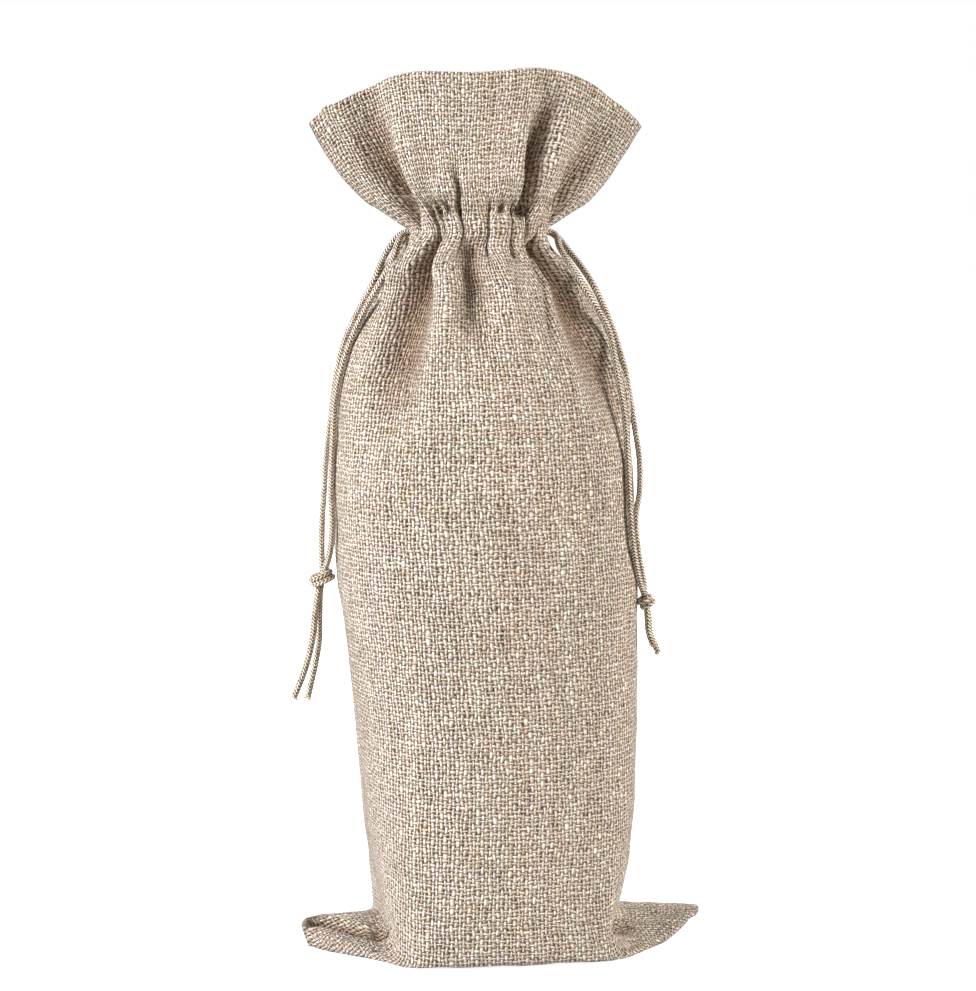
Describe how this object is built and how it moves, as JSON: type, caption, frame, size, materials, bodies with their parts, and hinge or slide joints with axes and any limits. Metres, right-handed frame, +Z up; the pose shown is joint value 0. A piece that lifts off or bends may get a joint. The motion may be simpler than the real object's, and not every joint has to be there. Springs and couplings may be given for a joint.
{
  "type": "wine tote bag",
  "caption": "Tall drawstring wine tote bag of coarse woven cloth, standing filled out, with a gathered neck, a fanned heading and a flat base with pointed corners.",
  "frame": {"origin": "middle of the flat underside, where the bottom fold crosses it", "axes": "+Z up the bag, +X along the bottom fold from the left seam to the right seam, the front is -Y"},
  "size_m": [0.142, 0.0868, 0.2932],
  "materials": {
    "cloth": "matte coarse plain weave in natural slubby yarns",
    "cord": "matte braided cord"
  },
  "bodies": {
    "root": {"bag_cloth": "cloth", "drawstring_left": "cord", "drawstring_right": "cord"}
  },
  "joints": []
}
